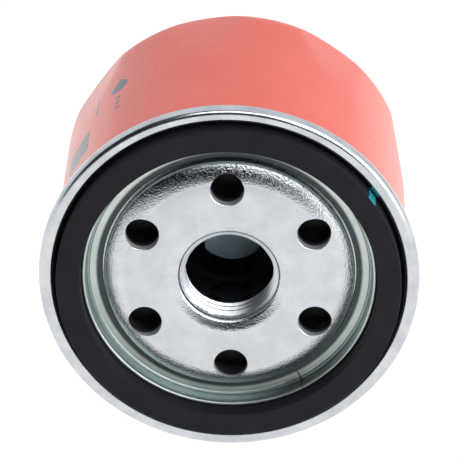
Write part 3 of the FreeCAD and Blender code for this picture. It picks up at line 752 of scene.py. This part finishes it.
def new_material(name):
    """Start a material and give it, its tree and the sockets of its shader."""
    material = bpy.data.materials.new(name)
    material.use_nodes = True
    tree = material.node_tree
    shader = tree.nodes["Principled BSDF"]
    return material, tree, shader.inputs


def raise_surface(tree, sockets, height, distance):
    """Feed a height in millimetres to the shader's normal."""
    bump = tree.nodes.new("ShaderNodeBump")
    bump.inputs["Distance"].default_value = distance * MM
    feed(tree, bump.inputs["Height"], height)
    feed(tree, sockets["Normal"], bump.outputs[0])


# ---------------------------------------------------------------- materials

def paint_material():
    """Stoved red paint with a faint orange peel and the dark print."""
    material, tree, sockets = new_material("red_paint")
    mottle = effect(tree, "mottle", Patch=16.0, Grain=1.6)
    marks = effect(tree, "printed_marks")
    red = mix_colour(tree, mottle["Patches"], (0.78, 0.090, 0.048, 1), (0.82, 0.108, 0.062, 1))
    printed = mix_colour(tree, marks["Mask"], red, (0.055, 0.065, 0.10, 1))
    feed(tree, sockets["Base Color"], printed)
    feed(tree, sockets["Roughness"], fade(tree, mottle["Grains"], 0.2, 0.8, 0.24, 0.29))
    sockets["Coat Weight"].default_value = 0.2
    sockets["Coat Roughness"].default_value = 0.14
    raise_surface(tree, sockets, mottle["Grains"], 0.003)
    return material


def lid_material():
    """Thin lid: greenish plating inside the gasket, bright rolled metal at the seam, painted shade
    in the ridge's corner and at the opening's edge.
    """
    material, tree, sockets = new_material("zinc_lid")
    place = effect(tree, "round_place")
    mottle = effect(tree, "mottle", Patch=4.0, Grain=0.3)
    scratches = effect(tree, "scratches", Length=6.0, Width=0.14, Amount=0.4)
    plated = mix_colour(tree, mottle["Patches"], (0.50, 0.56, 0.535, 1), (0.58, 0.63, 0.605, 1))
    # painted shade: the plating turns dark teal in the corner at the foot of the ridge
    corner = between(tree, place["Radius"], 27.75, 28.35, 0.45)
    corner_shaded = mix_colour(tree, corner, plated, (0.20, 0.27, 0.28, 1))
    # painted shade: the foot fades to near black towards the edge of the opening, in the crevice
    # beside the plate
    crevice_shade = fade(tree, place["Radius"], 26.0, 26.7, 1.0, 0.0)
    foot = mix_colour(tree, crevice_shade, corner_shaded, (0.055, 0.065, 0.07, 1))
    seam = mix_colour(tree, mottle["Patches"], (0.52, 0.545, 0.58, 1), (0.64, 0.665, 0.69, 1))
    outward = fade(tree, place["Radius"], 31.0, 33.0)
    metal = mix_colour(tree, outward, foot, seam)
    marked = mix_colour(tree, scratches["Mask"], metal, (0.75, 0.77, 0.78, 1))
    nick = calc(tree, "MULTIPLY", between(tree, place["Clock"], 148.7, 149.3, 0.2),
                between(tree, place["Radius"], 26.4, 28.4, 0.3))
    stain = calc(tree, "MULTIPLY", between(tree, place["Clock"], 150.0, 156.0, 1.0),
                 between(tree, place["Radius"], 27.3, 27.9, 0.2))
    stained = mix_colour(tree, calc(tree, "MULTIPLY", stain, 0.5), marked, (0.20, 0.15, 0.09, 1))
    nicked = mix_colour(tree, nick, stained, (0.03, 0.03, 0.03, 1))
    dab_around = between(tree, place["Clock"], 53.2, 57.6, 0.3)
    dab_across = between(tree, place["Radius"], 33.9, 34.7, 0.1)
    dab = calc(tree, "MULTIPLY", dab_around, dab_across)
    feed(tree, sockets["Base Color"], mix_colour(tree, dab, nicked, (0.02, 0.30, 0.36, 1)))
    feed(tree, sockets["Metallic"], calc(tree, "SUBTRACT", 1.0, dab))
    dull = fade(tree, mottle["Grains"], 0.2, 0.8, 0.30, 0.38)
    bright = fade(tree, mottle["Grains"], 0.2, 0.8, 0.16, 0.24)
    feed(tree, sockets["Roughness"],
         calc(tree, "ADD", calc(tree, "MULTIPLY", outward, bright),
              calc(tree, "MULTIPLY", calc(tree, "SUBTRACT", 1.0, outward), dull)))
    raise_surface(tree, sockets, mottle["Grains"], 0.002)
    return material


def inlet_masks(tree, place):
    """Mask the sheared walls of the inlets, which lie along the axis, and their rolled rims, which
    get a painted highlight.
    """
    surface = tree.nodes.new("ShaderNodeTexCoord")
    parts = tree.nodes.new("ShaderNodeSeparateXYZ")
    feed(tree, parts.inputs[0], surface.outputs["Normal"])
    steepness = calc(tree, "ABSOLUTE", parts.outputs[1])
    near_inlets = between(tree, place["Radius"], 15.5, 23.4, 0.2)
    wall = calc(tree, "MULTIPLY", fade(tree, steepness, 0.1, 0.3, 1.0, 0.0), near_inlets)
    rim = calc(tree, "MULTIPLY", between(tree, steepness, 0.3, 0.82, 0.06), near_inlets)
    return wall, rim


def plate_material():
    """Zinc-plated thick plate, grainier where the press has bent it, with a painted highlight on
    the inlet rims and painted shade deep in the inlets.
    """
    material, tree, sockets = new_material("zinc_plate")
    place = effect(tree, "round_place")
    mottle = effect(tree, "mottle", Patch=5.0, Grain=0.4)
    scratches = effect(tree, "scratches", Length=5.0, Width=0.12, Amount=0.6)
    zinc = mix_colour(tree, mottle["Patches"], (0.56, 0.59, 0.62, 1), (0.65, 0.675, 0.70, 1))
    marked = mix_colour(tree, scratches["Mask"], zinc, (0.42, 0.44, 0.46, 1))
    bend = between(tree, place["Radius"], 21.0, 25.2, 0.8)
    mouth = between(tree, place["Radius"], 9.8, 12.6, 0.7)
    bent = calc(tree, "MAXIMUM", bend, calc(tree, "MULTIPLY", mouth, 0.7))
    sheared, rim = inlet_masks(tree, place)
    # painted highlight: the rolled rims of the inlets are coloured near white
    rim_highlighted = mix_colour(tree, rim, marked, (0.94, 0.95, 0.96, 1))
    # the inlet walls are sheared grey near the front and fade to near black deeper in: painted
    # shade inside the holes
    wall_grey_to_painted_shade = mix_colour(tree, fade(tree, place["Depth"], 4.4, 5.2), (0.42, 0.44, 0.46, 1),
                      (0.03, 0.032, 0.036, 1))
    feed(tree, sockets["Base Color"], mix_colour(tree, sheared, rim_highlighted, wall_grey_to_painted_shade))
    feed(tree, sockets["Metallic"], fade(tree, sheared, 0.0, 1.0, 1.0, 0.35))
    flat_roughness = fade(tree, mottle["Grains"], 0.2, 0.8, 0.30, 0.40)
    smoothed = calc(tree, "SUBTRACT", flat_roughness, calc(tree, "MULTIPLY", bent, 0.22))
    feed(tree, sockets["Roughness"], calc(tree, "MAXIMUM", smoothed,
                                          calc(tree, "MULTIPLY", sheared, 0.6)))
    gain = fade(tree, bent, 0.0, 1.0, 0.10, 1.0)
    raise_surface(tree, sockets, calc(tree, "MULTIPLY", mottle["Grains"], gain), 0.085)
    return material


def gasket_material():
    """Matt moulded nitrile rubber with a little dust on it."""
    material, tree, sockets = new_material("gasket_rubber")
    place = effect(tree, "round_place")
    mottle = effect(tree, "mottle", Patch=7.0, Grain=0.18)
    dust = effect(tree, "dust", Spacing=2.8, Size=0.11, Share=0.22)
    black = mix_colour(tree, mottle["Patches"], (0.0090, 0.0094, 0.0122, 1),
                       (0.0120, 0.0124, 0.0155, 1))
    dusty = mix_colour(tree, dust["Mask"], black, (0.22, 0.23, 0.23, 1))
    dab_around = between(tree, place["Clock"], 53.4, 57.2, 0.3)
    dab = calc(tree, "MULTIPLY", dab_around, fade(tree, place["Radius"], 33.62, 33.75))
    feed(tree, sockets["Base Color"], mix_colour(tree, dab, dusty, (0.02, 0.24, 0.30, 1)))
    feed(tree, sockets["Roughness"], fade(tree, mottle["Grains"], 0.2, 0.8, 0.5, 0.62))
    sockets["Specular IOR Level"].default_value = 0.14
    raise_surface(tree, sockets, mottle["Grains"], 0.008)
    return material


def plain_material(name, dark, light, metallic, roughness, grain=0.3, height=0.01, patch=5.0):
    """Make a finish with soft patches and a fine grain between two colours."""
    material, tree, sockets = new_material(name)
    mottle = effect(tree, "mottle", Patch=patch, Grain=grain)
    feed(tree, sockets["Base Color"], mix_colour(tree, mottle["Patches"], dark, light))
    sockets["Metallic"].default_value = metallic
    feed(tree, sockets["Roughness"],
         fade(tree, mottle["Grains"], 0.2, 0.8, roughness - 0.06, roughness + 0.06))
    raise_surface(tree, sockets, mottle["Grains"], height)
    return material


def inner_materials():
    """Make the finishes of the pieces inside the can."""
    return {
        "valve_rubber": plain_material("valve_rubber", (0.008, 0.008, 0.009, 1),
                                       (0.013, 0.013, 0.014, 1), 0.0, 0.5, 0.25, 0.008),
        "seam_compound": plain_material("seam_compound", (0.18, 0.17, 0.14, 1),
                                        (0.24, 0.22, 0.18, 1), 0.0, 0.6, 0.5, 0.02),
        "cap_steel": plain_material("cap_steel", (0.52, 0.53, 0.54, 1),
                                    (0.60, 0.61, 0.62, 1), 1.0, 0.3),
        "tube_steel": plain_material("tube_steel", (0.16, 0.18, 0.21, 1),
                                     (0.24, 0.26, 0.29, 1), 1.0, 0.38),
        "filter_paper": plain_material("filter_paper", (0.42, 0.15, 0.06, 1),
                                       (0.52, 0.21, 0.09, 1), 0.0, 0.85, 0.12, 0.02, 3.0),
        "adhesive": plain_material("adhesive", (0.05, 0.05, 0.055, 1),
                                   (0.08, 0.08, 0.085, 1), 0.0, 0.45, 0.8, 0.02),
        "valve_steel": plain_material("valve_steel", (0.27, 0.35, 0.385, 1),
                                      (0.37, 0.455, 0.49, 1), 1.0, 0.36),
        "spring_steel": plain_material("spring_steel", (0.36, 0.36, 0.37, 1),
                                       (0.46, 0.46, 0.47, 1), 1.0, 0.28, 0.15, 0.006),
    }


def floor_material():
    """White table lit from within, so that shadows stay faint."""
    material, tree, sockets = new_material("white_table")
    patches = noise(tree, object_point(tree), 0.01, 2.0, 0.5)
    feed(tree, sockets["Base Color"],
         mix_colour(tree, patches, (0.11, 0.11, 0.11, 1), (0.13, 0.13, 0.13, 1)))
    sockets["Roughness"].default_value = 0.9
    sockets["Emission Color"].default_value = (1, 1, 1, 1)
    sockets["Emission Strength"].default_value = 0.98
    return material


# ---------------------------------------------------------------- stage

CAMERA_AZIMUTH = math.radians(1.684)
CAMERA_ELEVATION = math.radians(28.535)
CAMERA_DISTANCE = 0.70134
CAMERA_TARGET = Vector((0.000309, 0, 0.012495))
CAMERA_LENS = 279.85
SOFTBOX_DISTANCE = 0.9
TABLE_HALF_WIDTH = 3.0


def make_camera():
    """Set the camera above and in front of the mounting end."""
    data = bpy.data.cameras.new("camera")
    data.lens = CAMERA_LENS
    data.sensor_width = 36
    data.clip_start = 0.05
    data.clip_end = 20
    camera = bpy.data.objects.new("camera", data)
    bpy.context.scene.collection.objects.link(camera)
    level = math.cos(CAMERA_ELEVATION)
    camera.location = CAMERA_DISTANCE * Vector((math.sin(CAMERA_AZIMUTH) * level,
                                                -math.cos(CAMERA_AZIMUTH) * level,
                                                math.sin(CAMERA_ELEVATION)))
    aim = CAMERA_TARGET - camera.location
    camera.rotation_mode = "QUATERNION"
    camera.rotation_quaternion = aim.to_track_quat("-Z", "Y")
    bpy.context.scene.camera = camera


def make_softbox(name, direction, width, height, radiance):
    """Hang a softbox in a direction from the filter, facing it."""
    data = bpy.data.lights.new(name, "AREA")
    data.shape = "RECTANGLE"
    data.size = width
    data.size_y = height
    data.energy = radiance * math.pi * width * height
    lamp = bpy.data.objects.new(name, data)
    bpy.context.scene.collection.objects.link(lamp)
    lamp.location = Vector(direction).normalized() * SOFTBOX_DISTANCE
    lamp.rotation_mode = "QUATERNION"
    lamp.rotation_quaternion = (-lamp.location).to_track_quat("-Z", "Y")


def make_surroundings():
    """Light the studio: white behind and above, with a dark side low in front and left."""
    world = bpy.data.worlds.new("studio")
    bpy.context.scene.world = world
    world.use_nodes = True
    tree = world.node_tree
    place = tree.nodes.new("ShaderNodeTexCoord")
    facing = tree.nodes.new("ShaderNodeVectorMath")
    facing.operation = "DOT_PRODUCT"
    feed(tree, facing.inputs[0], place.outputs["Generated"])
    facing.inputs[1].default_value = Vector((-0.30, -0.93, 0.18)).normalized()
    dark = fade(tree, facing.outputs["Value"], 0.42, 0.62)
    shade = mix_colour(tree, dark, (0.82, 0.85, 0.89, 1), (0.012, 0.012, 0.016, 1))
    feed(tree, tree.nodes["Background"].inputs["Color"], shade)


def make_floor():
    """Lay a wide pale table under the filter."""
    low = cad_low.z
    size = TABLE_HALF_WIDTH
    mesh = bpy.data.meshes.new("table")
    mesh.from_pydata([(-size, -size, low), (size, -size, low), (size, size, low),
                      (-size, size, low)], [], [(0, 1, 2, 3)])
    table = bpy.data.objects.new("table", mesh)
    bpy.context.scene.collection.objects.link(table)
    table.data.materials.append(floor_material())


def make_stage():
    """Set up the camera, lights and floor."""
    make_camera()
    make_surroundings()
    make_softbox("key_softbox", (0.50, -0.62, 0.60), 0.50, 0.42, 3.6)
    make_softbox("front_softbox", (0.04, -0.67, 0.74), 0.55, 0.26, 3.4)
    make_softbox("side_softbox", (0.86, -0.45, 0.24), 0.55, 0.45, 3.4)
    make_floor()
    bpy.context.scene.view_settings.view_transform = "Standard"


# ---------------------------------------------------------------- putting it together

def dress(piece, material):
    """Give a made piece its material."""
    piece.data.materials.clear()
    piece.data.materials.append(material)


def make_finishes():
    """Make every finish, by the name of its slot."""
    finishes = inner_materials()
    finishes["red_paint"] = paint_material()
    finishes["zinc_lid"] = lid_material()
    finishes["zinc_plate"] = plate_material()
    finishes["gasket_rubber"] = gasket_material()
    return finishes


def place_riding_pieces(finishes, slots):
    """Make the pieces that keep their shape, each riding on one body."""
    riding = [
        (make_canister(), "canister", "housing"),
        (make_lid(), "seaming_lid", "housing"),
        (make_plate(), "base_plate", "housing"),
        (make_gasket(), "sealing_gasket", "housing"),
        (make_valve_hub(), "drainback_valve", "housing"),
        (make_media(), "pleated_media", "element"),
    ]
    for piece, node, body in riding:
        dress(piece, finishes[slots[node]])
        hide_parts(node)
        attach(piece, body)


def place_bending_pieces(finishes, slots):
    """Make the valve web and the two coils, give them their finishes and hide the nodes they
    replace.
    """
    web_root = VALVE_BACK - 1.2
    web_lip = PLATE_RIM_BACK + LIP_THICKNESS
    web = make_valve_web()
    element_coil = make_coil("element_coil", "element_spring", ELEMENT_WIRE_RADIUS,
                             ELEMENT_COIL_TURNS)
    bypass_coil = make_coil("bypass_coil", "bypass_valve_spring", BYPASS_WIRE_RADIUS,
                            BYPASS_COIL_TURNS)
    bending = [
        (web, "drainback_valve", "housing", "drainback_flap", (web_root, web_lip)),
        (element_coil, "element_spring", "element", "housing", depths("element_spring")),
        (bypass_coil, "bypass_valve_spring", "element", "bypass_poppet",
         depths("bypass_valve_spring")),
    ]
    for piece, node, fixed, moving, (start, end) in bending:
        dress(piece, finishes[slots[node]])
        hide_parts(node)
        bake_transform(piece)


def dress_cad_nodes(finishes, slots):
    """Give the nodes that stay as they are their finishes."""
    for name, node in frame["nodes"].items():
        if not node.hide_render:
            node.data.materials.clear()
            node.data.materials.append(finishes[slots[name]])


def main():
    """Build the stage, the finishes and the pieces."""
    make_stage()
    build_groups()
    finishes = make_finishes()
    slots = {part["node"]: part["material_slot"] for part in frame["record"]["subparts"]}
    place_riding_pieces(finishes, slots)
    place_bending_pieces(finishes, slots)
    dress_cad_nodes(finishes, slots)


main()
